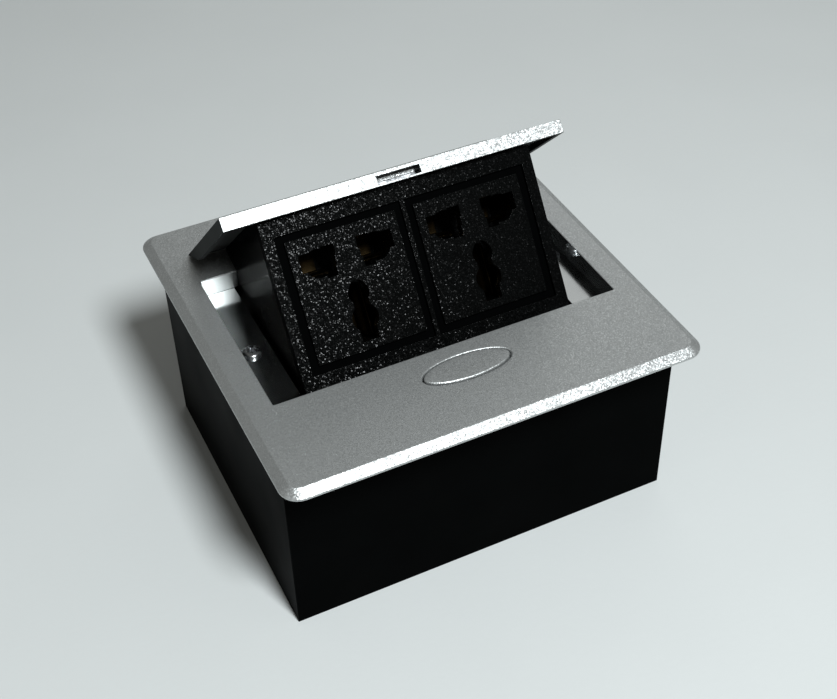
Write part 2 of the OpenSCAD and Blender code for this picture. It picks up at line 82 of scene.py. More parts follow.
class Tree:
    """A short way to write node materials."""

    def __init__(self, name):
        self.material = bpy.data.materials.new(name)
        self.material.use_nodes = True
        self.nodes = self.material.node_tree.nodes
        self.links = self.material.node_tree.links
        self.shader = self.nodes["Principled BSDF"]
        self.place = self.nodes.new("ShaderNodeTexCoord").outputs["Object"]

    def put(self, socket, value):
        """Links an output to the socket, or sets the socket to a constant."""
        if isinstance(value, bpy.types.NodeSocket):
            self.links.new(value, socket)
        else:
            socket.default_value = value

    def set(self, **values):
        """Sets the shader's own sockets by name, with _ for a space."""
        for name, value in values.items():
            self.put(self.shader.inputs[name.replace("_", " ")], value)

    def scaled(self, size):
        """Object coordinates in units of size millimetres."""
        node = self.nodes.new("ShaderNodeVectorMath")
        node.operation = "SCALE"
        self.put(node.inputs[0], self.place)
        node.inputs["Scale"].default_value = 1 / (size * MM)
        return node.outputs[0]

    def noise(self, size, detail=2.0, rough=0.5):
        """Cloudy noise with features of size millimetres."""
        node = self.nodes.new("ShaderNodeTexNoise")
        self.put(node.inputs["Vector"], self.scaled(size))
        node.inputs["Scale"].default_value = 1.0
        node.inputs["Detail"].default_value = detail
        node.inputs["Roughness"].default_value = rough
        return node.outputs["Fac"]

    def ramp(self, value, stops):
        """A colour ramp of (place, colour) stops."""
        node = self.nodes.new("ShaderNodeValToRGB")
        self.put(node.inputs[0], value)
        elements = node.color_ramp.elements
        while len(elements) < len(stops):
            elements.new(0.5)
        for element, (place, colour) in zip(elements, stops):
            element.position = place
            element.color = (*colour, 1)
        return node.outputs["Color"]

    def remap(self, value, low, high, to_low, to_high):
        node = self.nodes.new("ShaderNodeMapRange")
        for socket, number in zip(node.inputs[:5], (value, low, high, to_low, to_high)):
            self.put(socket, number)
        return node.outputs[0]

    def mix(self, amount, a, b, blend="MIX"):
        """Colour a turned into b by amount."""
        node = self.nodes.new("ShaderNodeMix")
        node.data_type = "RGBA"
        node.blend_type = blend
        self.put(node.inputs["Factor"], amount)
        self.put(node.inputs["A"], (*a, 1) if isinstance(a, tuple) else a)
        self.put(node.inputs["B"], (*b, 1) if isinstance(b, tuple) else b)
        return node.outputs["Result"]

    def grains(self, size, spread):
        """The normal turned by up to half of spread along X, Y and Z on each grain, and its random colour."""
        node = self.nodes.new("ShaderNodeTexVoronoi")
        node.feature = "F1"
        self.put(node.inputs["Vector"], self.scaled(size))
        node.inputs["Scale"].default_value = 1.0
        geometry = self.nodes.new("ShaderNodeNewGeometry")
        centred = self.vector("SUBTRACT", node.outputs["Color"], (0.5, 0.5, 0.5))
        tilt = self.vector("MULTIPLY", centred, spread)
        turned = self.vector("ADD", tilt, geometry.outputs["Normal"])
        return self.vector("NORMALIZE", turned, None), node.outputs["Color"]

    def vector(self, operation, a, b):
        node = self.nodes.new("ShaderNodeVectorMath")
        node.operation = operation
        self.put(node.inputs[0], a)
        if b is not None:
            self.put(node.inputs[1], b)
        return node.outputs[0]

    def painted_edge_highlight(self, radius):
        """1 on sharp edges, 0 on flats: how far a rounded normal turns from the true one."""
        bevel = self.nodes.new("ShaderNodeBevel")
        bevel.samples = 4
        bevel.inputs["Radius"].default_value = radius * MM
        geometry = self.nodes.new("ShaderNodeNewGeometry")
        dot = self.nodes.new("ShaderNodeVectorMath")
        dot.operation = "DOT_PRODUCT"
        self.put(dot.inputs[0], bevel.outputs[0])
        self.put(dot.inputs[1], geometry.outputs["Normal"])
        return self.remap(dot.outputs["Value"], 0.98, 0.75, 0.0, 1.0)

    def bump(self, height, depth):
        """Raises the surface by up to depth millimetres."""
        node = self.nodes.new("ShaderNodeBump")
        node.inputs["Strength"].default_value = 1.0
        node.inputs["Distance"].default_value = depth * MM
        self.put(node.inputs["Height"], height)
        self.put(self.shader.inputs["Normal"], node.outputs[0])


def silver_paint(name, grey=0.50, metal=0.78, rough=0.42, size=0.30, spread=(0.30, 0.30, 0.30)):
    """Sandblasted silver: each grain is turned its own way, and a few of them catch the light. Each grain
    also gets its own tone, and the brightest few are painted glints.
    """
    t = Tree(name)
    normal, chance = t.grains(size, spread)
    tone = t.mix(t.noise(26, 3), (grey * 0.94, grey * 0.965, grey * 0.96),
                 (grey * 1.02, grey * 1.045, grey * 1.04))
    # Some grains are painted up to 1.35 times brighter: partly grain tone, partly painted glint.
    spark = t.ramp(chance, [(0.0, (0.90,) * 3), (0.6, (0.98,) * 3), (0.78, (1.12,) * 3), (1.0, (1.35,) * 3)])
    t.set(Base_Color=t.mix(1.0, tone, spark, "MULTIPLY"), Metallic=metal,
          Roughness=t.remap(t.noise(0.5, 2, 0.6), 0.35, 0.65, rough - 0.08, rough + 0.08), Normal=normal)
    return t.material


def smooth_silver(name, grey=0.56, rough=0.15, edge=1.0):
    """Bare die-cast metal that the blasting didn't reach. Darker and lighter copies of it are used as painted
    shade and painted glare.
    """
    t = Tree(name)
    tone = t.mix(t.noise(11, 4, 0.6), (grey * 0.90, grey * 0.93, grey * 0.93),
                 (grey * 1.04, grey * 1.06, grey * 1.05))
    t.set(Base_Color=tone, Metallic=1.0,
          Roughness=t.remap(t.noise(9, 3), 0.3, 0.7, rough - 0.02, rough + 0.03),
          Specular_Tint=(edge, edge, edge, 1))
    t.bump(t.noise(0.5, 3, 0.6), 0.0015)
    return t.material


def satin_black(name):
    """Black lacquer on sheet steel, with a faint orange peel and a painted highlight on its sharp edges."""
    t = Tree(name)
    tone = t.mix(t.noise(18, 3), (0.0010, 0.0012, 0.0012), (0.0021, 0.0023, 0.0023))
    # Sharp edges are painted lighter: a painted highlight that keeps the black edges visible.
    t.set(Base_Color=t.mix(t.painted_edge_highlight(0.35), tone, (0.012, 0.013, 0.013)),
          Roughness=t.remap(t.noise(30, 2), 0.3, 0.7, 0.32, 0.40), Specular_IOR_Level=0.003)
    t.bump(t.noise(1.1, 2, 0.5), 0.003)
    return t.material


def grained_plastic(name, size=0.28, spread=(0.24, 0.46, 0.46), rough=0.22, shine=0.07):
    """Black plastic from a spark-eroded mould: coarse grains turned to catch the light, some of them painted
    up to three times brighter as a painted glint.
    """
    t = Tree(name)
    normal, chance = t.grains(size, spread)
    tone = t.mix(t.noise(9, 3), (0.0007, 0.0008, 0.0008), (0.0012, 0.0014, 0.0014))
    # Some grains are painted up to three times brighter: a painted glint.
    spark = t.ramp(chance, [(0.0, (0.5,) * 3), (0.5, (0.8,) * 3), (0.72, (1.4,) * 3), (1.0, (3.0,) * 3)])
    t.set(Base_Color=t.mix(1.0, tone, spark, "MULTIPLY"),
          Roughness=t.remap(chance, 0.3, 0.7, rough + 0.10, rough - 0.06),
          Specular_IOR_Level=shine, Normal=normal)
    return t.material


def gloss_plastic(name, rough=0.24, shine=0.009):
    """Black plastic from a polished mould."""
    t = Tree(name)
    t.set(Base_Color=t.mix(t.noise(12, 2), (0.0005, 0.0006, 0.0006), (0.0009, 0.0010, 0.0011)),
          Roughness=t.remap(t.noise(14, 3), 0.3, 0.7, rough - 0.04, rough + 0.05), Specular_IOR_Level=shine)
    t.bump(t.noise(1.4, 2), 0.002)
    return t.material


def worn_metal(name, colour, dark, rough=0.32, grain=0.8):
    """Plated or bare metal with fine rolling marks."""
    t = Tree(name)
    stretch = t.nodes.new("ShaderNodeMapping")
    t.put(stretch.inputs["Vector"], t.scaled(grain))
    stretch.inputs["Scale"].default_value = (0.08, 1.0, 1.0)
    lines = t.nodes.new("ShaderNodeTexNoise")
    t.put(lines.inputs["Vector"], stretch.outputs[0])
    lines.inputs["Scale"].default_value = 1.0
    tone = t.mix(t.noise(3.5, 4, 0.6), colour, dark)
    t.set(Base_Color=tone, Metallic=1.0,
          Roughness=t.remap(t.noise(1.6, 3), 0.3, 0.7, rough - 0.07, rough + 0.10))
    t.bump(lines.outputs["Fac"], 0.004)
    return t.material


def soft_rubber(name):
    """Matt black rubber, slightly uneven."""
    t = Tree(name)
    t.set(Base_Color=t.mix(t.noise(6, 3), (0.016, 0.016, 0.016), (0.028, 0.027, 0.026)),
          Roughness=t.remap(t.noise(1.5, 3), 0.3, 0.7, 0.58, 0.75), Specular_IOR_Level=0.35)
    t.bump(t.noise(0.35, 3), 0.025)
    return t.material


def natural_nylon(name):
    """Milky white nylon that lets a little light in."""
    t = Tree(name)
    t.set(Base_Color=t.mix(t.noise(5, 3), (0.74, 0.72, 0.66), (0.82, 0.81, 0.76)),
          Roughness=t.remap(t.noise(1.4, 2), 0.3, 0.7, 0.36, 0.48))
    t.shader.inputs["Subsurface Weight"].default_value = 0.15
    t.shader.inputs["Subsurface Radius"].default_value = (0.002, 0.0016, 0.0012)
    t.bump(t.noise(0.8, 2), 0.01)
    return t.material


MATERIAL = {
    "plate": silver_paint("silver_paint"),
    "button": silver_paint("silver_paint_button"),
    "case": satin_black("satin_black"),
    "zinc_steel": worn_metal("zinc_steel", (0.46, 0.47, 0.48), (0.34, 0.35, 0.37), 0.24),
    "housing": gloss_plastic("housing_plastic"),
    "face": grained_plastic("face_plastic"),
    "insulator": grained_plastic("insulator_plastic", 0.3, (0.3, 0.3, 0.3), 0.45, 0.05),
    "nylon": natural_nylon("natural_nylon"),
    "rubber": soft_rubber("soft_rubber"),
    # The brass is far darker than real brass: painted shade for contacts deep in the sockets.
    "brass": worn_metal("dimmed_brass_shade", (0.10, 0.07, 0.035), (0.05, 0.033, 0.015), 0.16, 0.5),
}
# Still darker brass for the deep part of the contacts: painted shade inside the sockets.
DEEP_SOCKET_SHADE_BRASS = worn_metal("deep_socket_shade_brass", (0.018, 0.012, 0.005), (0.009, 0.006, 0.003), 0.34, 0.5)
SMOOTH_SILVER = smooth_silver("smooth_silver")
# A much darker copy of the smooth silver: painted shade for the lid's ends and inside.
SHADED_LID_SILVER = smooth_silver("lid_painted_shade_silver", 0.15, 0.40, 0.2)
# A much lighter copy of the smooth silver: painted glare for the opening's rear wall.
GLARE_WALL_SILVER = smooth_silver("painted_glare_silver", 0.92, 0.34)
SMOOTH_BLACK = gloss_plastic("smooth_black", 0.40, 0.004)


# ---------------------------------------------------------------- mesh helpers

def new_object(name, bm):
    """The millimetre mesh bm as an object in the row frame."""
    bmesh.ops.recalc_face_normals(bm, faces=bm.faces)
    bmesh.ops.scale(bm, vec=(MM, MM, MM), verts=bm.verts)
    mesh = bpy.data.meshes.new(name + "_mesh")
    bm.to_mesh(mesh)
    bm.free()
    obj = bpy.data.objects.new(name, mesh)
    bpy.context.scene.collection.objects.link(obj)
    return obj


def finished(obj, node, bevel, segments=3):
    """Rounds the edges of a piece, gives it its node's finish, and puts it on that node's body."""
    for polygon in obj.data.polygons:
        polygon.use_smooth = True
    if bevel:
        rounding = obj.modifiers.new("edges", "BEVEL")
        rounding.width = bevel * MM
        rounding.segments = segments
        rounding.limit_method = "ANGLE"
        rounding.angle_limit = math.radians(32)
        rounding.use_clamp_overlap = True
    even = obj.modifiers.new("flats", "WEIGHTED_NORMAL")
    even.weight = 100
    even.keep_sharp = True
    obj.data.materials.clear()
    obj.data.materials.append(MATERIAL[SLOT_OF[node]])
    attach(obj, BODY_OF[node])
    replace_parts(obj, node)
    return obj


def second_finish(obj, material, chosen):
    """Gives material to the faces that chosen(centre, normal), in millimetres, picks."""
    obj.data.materials.append(material)
    for polygon in obj.data.polygons:
        if chosen(polygon.center / MM, polygon.normal):
            polygon.material_index = len(obj.data.materials) - 1


def refined(node, bevel):
    """A clean copy of a CAD node with its flats merged and its edges rounded."""
    bm = bmesh.new()
    bm.from_mesh(NODES[node].data)
    bmesh.ops.scale(bm, vec=(1 / MM, 1 / MM, 1 / MM), verts=bm.verts)
    bmesh.ops.remove_doubles(bm, verts=bm.verts, dist=0.002)
    # Merged flats with holes of this shape don't always fill well
    if node not in ("socket_left", "socket_right"):
        bmesh.ops.dissolve_limit(bm, angle_limit=math.radians(0.8), verts=bm.verts, edges=bm.edges)
    return finished(new_object(node + "_look", bm), node, bevel)


def round_corners(points, radii, steps=5):
    """A polyline with an arc of the given radius at each inner point."""
    out = [Vector(points[0])]
    for before, corner, after, radius in zip(points, points[1:], points[2:], radii):
        before, corner, after = Vector(before), Vector(corner), Vector(after)
        a = (before - corner).normalized()
        b = (after - corner).normalized()
        half = a.angle(b) / 2
        reach = radius / math.tan(half)
        centre = corner + (a + b).normalized() * (radius / math.sin(half))
        first = corner + a * reach - centre
        turn = math.pi - 2 * half
        side = 1 if a.x * b.y - a.y * b.x < 0 else -1
        for i in range(steps + 1):
            t = side * turn * i / steps
            arm = Vector((first.x * math.cos(t) - first.y * math.sin(t),
                          first.x * math.sin(t) + first.y * math.cos(t)))
            out.append(centre + arm)
    out.append(Vector(points[-1]))
    return out


def rounded_box_outline(x0, y0, x1, y1, radius, steps=10):
    """Outline function of a rounded rectangle; out is how far it is grown."""
    quarters = ((x1, y1, 1, 1), (x0, y1, -1, 1), (x0, y0, -1, -1), (x1, y0, 1, -1))

    def outline(out):
        r = max(radius + out, 0.02)
        places = []
        for k, (x, y, sx, sy) in enumerate(quarters):
            for i in range(steps + 1):
                t = math.pi / 2 * (k + i / steps)
                places.append((x + sx * (out - r) + r * math.cos(t), y + sy * (out - r) + r * math.sin(t)))
        return places
    return outline


def oval_outline(a, b, cy, count=144):
    """Outline function of an ellipse with half sizes a and b, centred on (0, cy)."""
    def outline(out):
        turns = (2 * math.pi * i / count for i in range(count))
        return [((a + out) * math.cos(t), cy + (b + out) * math.sin(t)) for t in turns]
    return outline


def rings(bm, outline, profile):
    """Bridges a ring of vertices per (out, z) of the profile. Returns the first and last ring's edges."""
    rows = [[bm.verts.new((x, y, z)) for x, y in outline(out)] for out, z in profile]
    for low, high in zip(rows, rows[1:]):
        for i in range(len(low)):
            j = (i + 1) % len(low)
            bm.faces.new((low[i], low[j], high[j], high[i]))
    ends = []
    for row in (rows[0], rows[-1]):
        pairs = zip(row, row[1:] + row[:1])
        ends.append([bm.edges.get(pair) or bm.edges.new(pair) for pair in pairs])
    return ends


def fill(bm, *loops):
    """Closes the flat area between the loops of edges."""
    bmesh.ops.triangle_fill(bm, use_beauty=True, use_dissolve=False, edges=sum(loops, []))


def add_box(bm, lo, hi, matrix=Matrix.Identity(4)):
    """A plain box between two corners, for cuts and joins."""
    corners = [Vector((x, y, z)) for x in (lo[0], hi[0]) for y in (lo[1], hi[1]) for z in (lo[2], hi[2])]
    v = [bm.verts.new(matrix @ c) for c in corners]
    for face in ((0, 1, 3, 2), (4, 6, 7, 5), (0, 4, 5, 1), (2, 3, 7, 6), (0, 2, 6, 4), (1, 5, 7, 3)):
        bm.faces.new([v[i] for i in face])


def add_lathe(bm, profile, matrix=Matrix.Identity(4), count=48):
    """Turns a profile of (radius, z) round the matrix's Z axis. A radius of 0 closes it."""
    rows = []
    for r, z in profile:
        if r == 0:
            rows.append([bm.verts.new(matrix @ Vector((0, 0, z)))])
        else:
            turns = (2 * math.pi * i / count for i in range(count))
            rows.append([bm.verts.new(matrix @ Vector((r * math.cos(t), r * math.sin(t), z))) for t in turns])
    for low, high in zip(rows, rows[1:]):
        for i in range(count):
            j = (i + 1) % count
            corners = [low[i % len(low)], low[j % len(low)], high[j % len(high)], high[i % len(high)]]
            bm.faces.new(list(dict.fromkeys(corners)))


def add_sweep(bm, points, radius, sides=12):
    """A round wire along points, with closed ends."""
    rows = []
    count = len(points)
    normal = None
    for i, point in enumerate(points):
        ahead = points[min(i + 1, count - 1)]
        behind = points[max(i - 1, 0)]
        along = (ahead - behind).normalized()
        if normal is None:
            normal = along.orthogonal().normalized()
        normal = (normal - along * normal.dot(along)).normalized()
        other = along.cross(normal)
        turns = (2 * math.pi * k / sides for k in range(sides))
        rows.append([bm.verts.new(point + (normal * math.cos(t) + other * math.sin(t)) * radius)
                     for t in turns])
    for low, high in zip(rows, rows[1:]):
        for k in range(sides):
            m = (k + 1) % sides
            bm.faces.new((low[k], low[m], high[m], high[k]))
    bm.faces.new(rows[0][::-1])
    bm.faces.new(rows[-1])


def add_strip(bm, path, thick, width, matrix):
    """Sheet metal of that thickness bent along path, a list of (x, z), and width long in y."""
    count = len(path)
    left, right = [], []
    for i, point in enumerate(path):
        along = (path[min(i + 1, count - 1)] - path[max(i - 1, 0)]).normalized()
        side = Vector((-along.y, along.x)) * (thick / 2)
        left.append(point + side)
        right.append(point - side)
    outline = left + right[::-1]
    rows = [[bm.verts.new(matrix @ Vector((p.x, y, p.y))) for p in outline] for y in (-width / 2, width / 2)]
    total = len(outline)
    for i in range(total):
        j = (i + 1) % total
        bm.faces.new((rows[0][i], rows[0][j], rows[1][j], rows[1][i]))
    for row in rows:
        for i in range(count - 1):
            bm.faces.new((row[i], row[i + 1], row[total - 2 - i], row[total - 1 - i]))


def combined(obj, cutter, operation="DIFFERENCE"):
    """Applies a boolean of cutter to obj and deletes cutter."""
    change = obj.modifiers.new("cut", "BOOLEAN")
    change.operation = operation
    change.object = cutter
    change.solver = "EXACT"
    bpy.context.view_layer.update()
    evaluated = obj.evaluated_get(bpy.context.evaluated_depsgraph_get())
    mesh = bpy.data.meshes.new_from_object(evaluated)
    obj.modifiers.clear()
    obj.data = mesh
    bpy.data.objects.remove(cutter)
    return obj


# ---------------------------------------------------------------- places worked out from the frame

def corner(node, end):
    """The low (0) or high (1) corner of a node's box."""
    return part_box(node)[end] / MM


PLATE_LOW, PLATE_HIGH = corner("top_frame", 0), corner("top_frame", 1)
TOP_Z = PLATE_HIGH.z
PLATE_UNDER = TOP_Z - 2.5               # underside of the plate's rim
SEAT_Z = PLATE_UNDER + 0.4              # where the case's edge meets the plate
LEDGE_Z = corner("bracket_left", 1).z   # top of the ledges beside the opening
OPEN_X = 56.1                           # half the opening's width
OPEN_FRONT = -29.5
OPEN_REAR = 33.0
SLOT_TOP = 64.8                         # slot for the latch's tooth
BOSS_X = 57                             # bosses for the screws that hold the plate
BOSS_Y = (-46, 45.5)
CASE_X = corner("case_shell", 1).x
CASE_FRONT, CASE_REAR = corner("case_shell", 0).y, corner("case_shell", 1).y
BUTTON_Y = -40.0
BUTTON_HOLE = (14.35, 5.45)             # half sizes of the oval hole
BUTTON_HALF = (13.75, 4.85)             # half sizes of the button

# SWING takes the closed lid to the open pose that the frame is drawn in
FLIP = next(j for j in frame["joints"] if j["name"] == "flip")
PIVOT = Vector(FLIP["pos_m"]) / MM
OPEN_ANGLE = math.radians(FLIP["range_deg"][1])
SWING = Matrix.Translation(PIVOT) @ Matrix.Rotation(-OPEN_ANGLE, 4, "X") @ Matrix.Translation(-PIVOT)
SWING_BACK = SWING.inverted()
LID_UNDER = TOP_Z - 4.2                 # underside of the closed lid

# FACE has its origin on the top edge of the socket face, and Z out of the face
FACE = SWING @ Matrix.Translation((0, -24.8, LID_UNDER)) @ Matrix.Rotation(math.radians(100), 4, "X")
FACE_BACK = FACE.inverted()
PAD_TOP = 7.3                           # from the face's top edge down to the sockets' pads
PIN_ROW = 7.5                           # from a pad's top down to its row of pole apertures
PAD_X = 20.45
POLE_X = 9.2
EARTH_Y = -18.6
DEEP = 22.0                             # depth of a socket
CONTACT_DEEP = 8.7                      # depth below which a contact gets the darker brass, painted shade


def socket_place(side):
    """The middle of a socket's row of pole apertures. Side is -1 for left and 1 for right."""
    return FACE @ Matrix.Translation((side * PAD_X, -PAD_TOP - PIN_ROW, 0))


# ---------------------------------------------------------------- plate and button

def make_plate():
    """The plate with its sloping rim, the opening, the button's hole, the latch's slot and four bosses."""
    bm = bmesh.new()
    outer = rounded_box_outline(PLATE_LOW.x, PLATE_LOW.y, PLATE_HIGH.x, PLATE_HIGH.y, 6)
    edge = round_corners([(-4.2, TOP_Z), (-2.8, TOP_Z), (0, TOP_Z - 1.8), (0, PLATE_UNDER),
                          (-1, PLATE_UNDER)], (0.7, 0.45, 0.2))
    edge_top, edge_low = rings(bm, outer, edge)
    seat = rounded_box_outline(-CASE_X - 0.1, CASE_FRONT - 0.1, CASE_X + 0.1, CASE_REAR + 0.1, 0.6, 3)
    seat_low, seat_top = rings(bm, seat, [(0, PLATE_UNDER), (0, SEAT_Z)])
    opening = rounded_box_outline(-OPEN_X, OPEN_FRONT, OPEN_X, OPEN_REAR, 0.5, 4)
    lining = round_corners([(1.2, TOP_Z), (0, TOP_Z), (0, LEDGE_Z), (2, LEDGE_Z), (2, SEAT_Z)],
                           (0.3, 0.15, 0.3))
    opening_top, opening_low = rings(bm, opening, lining)
    oval = oval_outline(*BUTTON_HOLE, BUTTON_Y)
    rim = round_corners([(1.0, TOP_Z), (0, TOP_Z), (0, SEAT_Z), (0.6, SEAT_Z)], (0.38, 0.15))
    oval_top, oval_low = rings(bm, oval, rim)
    fill(bm, edge_top, opening_top, oval_top)
    fill(bm, edge_low, seat_low)
    fill(bm, seat_top, opening_low, oval_low)
    obj = new_object("top_plate", bm)
    cut = bmesh.new()
    add_box(cut, (-6.3, -33.8, LEDGE_Z - 1), (6.3, OPEN_FRONT + 1, SLOT_TOP))
    combined(obj, new_object("slot", cut))
    bosses = bmesh.new()
    for sx in (-1, 1):
        for y in BOSS_Y:
            place = Matrix.Translation((sx * BOSS_X, y, 56))
            add_lathe(bosses, [(1.25, 0), (3.3, 0), (3.5, 0.2), (3.5, 8.6), (1.25, 8.6), (1.25, 0)], place)
    combined(obj, new_object("bosses", bosses), "UNION")
    finished(obj, "top_frame", 0)
    second_finish(obj, SMOOTH_SILVER, lambda c, n: c.z < TOP_Z - 0.2 and abs(n.z) < 0.9 and
                  abs(c.x) < OPEN_X + 1 and OPEN_FRONT - 1 < c.y < OPEN_REAR + 1)
    # The opening's rear wall gets the lighter silver copy: painted glare.
    second_finish(obj, GLARE_WALL_SILVER, lambda c, n: c.z < TOP_Z - 0.2 and n.y < -0.9 and
                  abs(c.x) < OPEN_X + 1 and OPEN_REAR - 1 < c.y < OPEN_REAR + 1)


def make_button():
    """The oval cap, the wedge that drives the latch, and the pin inside the spring."""
    bm = bmesh.new()
    body = round_corners([(-2, TOP_Z + 0.3), (0, TOP_Z + 0.3), (0, SEAT_Z - 0.3), (1.1, SEAT_Z - 0.3),
                          (1.1, SEAT_Z - 1.6), (-3, SEAT_Z - 1.6)], (0.55, 0.1, 0.2, 0.3))
    top, low = rings(bm, oval_outline(*BUTTON_HALF, BUTTON_Y), body)
    fill(bm, top)
    fill(bm, low)
    obj = new_object("oval_button", bm)
    wedge = bmesh.new()
    outline = [(-0.5, 56.5), (1, 56.5), (1, SEAT_Z - 1), (-4, SEAT_Z - 1), (-4, 60)]
    rows = [[wedge.verts.new((x, BUTTON_Y + y, z)) for y, z in outline] for x in (-5, 5)]
    for i in range(len(outline)):
        j = (i + 1) % len(outline)
        wedge.faces.new((rows[0][i], rows[0][j], rows[1][j], rows[1][i]))
    for row in rows:
        wedge.faces.new(row)
    add_lathe(wedge, [(0, 53.5), (1.0, 53.5), (1.2, 53.7), (1.2, 57), (0, 57)],
              Matrix.Translation((0, BUTTON_Y + 0.2, 0)), 32)
    combined(obj, new_object("wedge", wedge), "UNION")
    finished(obj, "button", 0)


# ---------------------------------------------------------------- screws

def make_screws(node, places, head_r, head_h, shank_r, shank_l):
    """Pan heads with a tapered cross recess, on shanks with a shallow thread."""
    bm = bmesh.new()
    turns = max(2, int(shank_l / 0.7))
    thread = [(shank_r * (0.86 if i % 2 else 1.0), -shank_l * i / (2 * turns)) for i in range(2 * turns)]
    dome = [(head_r * math.cos(t), head_h * (0.35 + 0.65 * math.sin(t)))
            for t in (math.radians(90 * i / 8) for i in range(8))]
    profile = [(0, head_h), *dome[::-1], (head_r, 0.04), (head_r * 0.98, 0), *thread,
               (shank_r * 0.6, -shank_l), (0, -shank_l)]
    for place in places:
        add_lathe(bm, profile, place)
    obj = new_object(node + "_look", bm)
    cut = bmesh.new()
    reach = head_r * 0.56
    half = head_r * 0.15
    plus = [(reach, -half), (reach, half), (half, half), (half, reach), (-half, reach), (-half, half),
            (-reach, half), (-reach, -half), (-half, -half), (-half, -reach), (half, -reach), (half, -half)]
    for place in places:
        turned = place @ Matrix.Rotation(math.radians(20), 4, "Z")
        rows = [[cut.verts.new(turned @ Vector((x * k, y * k, z))) for x, y in plus]
                for k, z in ((0.62, head_h * 0.3), (1.05, head_h + 0.2))]
        for i in range(12):
            j = (i + 1) % 12
            cut.faces.new((rows[0][i], rows[0][j], rows[1][j], rows[1][i]))
        cut.faces.new(rows[0][::-1])
        cut.faces.new(rows[1])
    combined(obj, new_object("recess", cut))
    finished(obj, node, 0.06, 2)


FLIPPED = Matrix.Rotation(math.pi, 4, "X")


def make_all_screws():
    """Every set of screws, at its places in part.scad. FLIPPED turns the heads down or to the back."""
    at = Matrix.Translation
    make_screws("bracket_screws", [at((sx * 51.6, 0.8, LEDGE_Z)) for sx in (-1, 1)],
                head_r=2.9, head_h=1.6, shank_r=1.45, shank_l=5.5)
    make_screws("frame_screws", [at((sx * BOSS_X, y, 54.5)) @ FLIPPED for sx in (-1, 1) for y in BOSS_Y],
                head_r=2.7, head_h=1.6, shank_r=1.25, shank_l=7.5)
    make_screws("latch_housing_screws", [at((sx * 19, BUTTON_Y, 46)) @ FLIPPED for sx in (-1, 1)],
                head_r=2.6, head_h=1.5, shank_r=1.25, shank_l=19.5)
    make_screws("lid_screws",
                [SWING @ at((sx * 35.1, y, LID_UNDER)) @ FLIPPED for sx in (-1, 1) for y in (-12, 2)],
                head_r=2.6, head_h=1.4, shank_r=1.25, shank_l=3.4)
    rearward = Matrix.Rotation(math.radians(90), 4, "X")
    make_screws("rear_cover_screws",
                [SWING @ at((sx * 39.1, 14.2, z)) @ rearward @ at((0, 0, -1.8)) @ FLIPPED
                 for sx in (-1, 1) for z in (LID_UNDER - 3.5, 15.5)],
                head_r=2.6, head_h=1.4, shank_r=1.25, shank_l=6.5)
    bar = -DEEP - 4.2
    make_screws("terminal_screws",
                [FACE @ at((PAD_X + x + 4.5, y - PAD_TOP - PIN_ROW, bar)) @ FLIPPED
                 for x, y in ((-POLE_X, 2), (POLE_X, -4), (0, -20.2))],
                head_r=1.75, head_h=1.4, shank_r=1.25, shank_l=1.9)


# ---------------------------------------------------------------- springs

def helix(radius, turns, length, matrix, steps=36):
    """Points along a helix about the matrix's Z axis."""
    count = int(turns * steps)
    points = []
    for i in range(count + 1):
        t = 2 * math.pi * i / steps
        points.append(matrix @ Vector((radius * math.cos(t), radius * math.sin(t), length * i / count)))
    return points


def make_springs():
    """The button's spring, the latch's two springs, and the pair that throws the lid open."""
    at = Matrix.Translation
    bm = bmesh.new()
    add_sweep(bm, helix(radius=2, turns=6, length=8.5, matrix=at((0, BUTTON_Y, 47.75))), radius=0.25)
    spring = finished(new_object("button_spring_look", bm), "button_spring", 0)
    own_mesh(spring)
    bm = bmesh.new()
    for sx in (-1, 1):
        place = at((sx * 8.75, -48.3, 58.55)) @ Matrix.Rotation(math.radians(-90), 4, "X")
        add_sweep(bm, helix(radius=1.2, turns=7, length=5.6, matrix=place), radius=0.2)
    finished(new_object("latch_springs_look", bm), "latch_springs", 0)
    bm = bmesh.new()
    coil, width = 3.1, 5.55
    wound = helix(radius=coil, turns=6, length=width, matrix=Matrix.Identity(4))
    first_leg = [Vector((coil, -15 + 0.5 * i, 0)) for i in range(30)]
    last_leg = [Vector((coil, 0.5 * i, width)) for i in range(1, 13)]
    for sx in (-1, 1):
        turn = Matrix.Scale(sx, 4, (1, 0, 0)) @ at((35.4, PIVOT.y, PIVOT.z))
        turn = turn @ Matrix.Rotation(math.radians(90), 4, "Y")
        add_sweep(bm, [SWING @ turn @ p for p in first_leg + wound + last_leg], radius=0.45)
    finished(new_object("torsion_springs_look", bm), "torsion_springs", 0)


# ---------------------------------------------------------------- contacts

def clip_path(half, lip, top, low):
    """Half of a spring clip's path, from its flared lip down to the middle of its base."""
    return round_corners([(half + lip, top), (half - lip * 0.4, top - 2.2), (half - lip * 0.4, top - 4),
                          (half + 0.3, top - 9), (half + 0.3, low), (0, low)], (0.8, 0.8, 2.0, 0.8), 6)


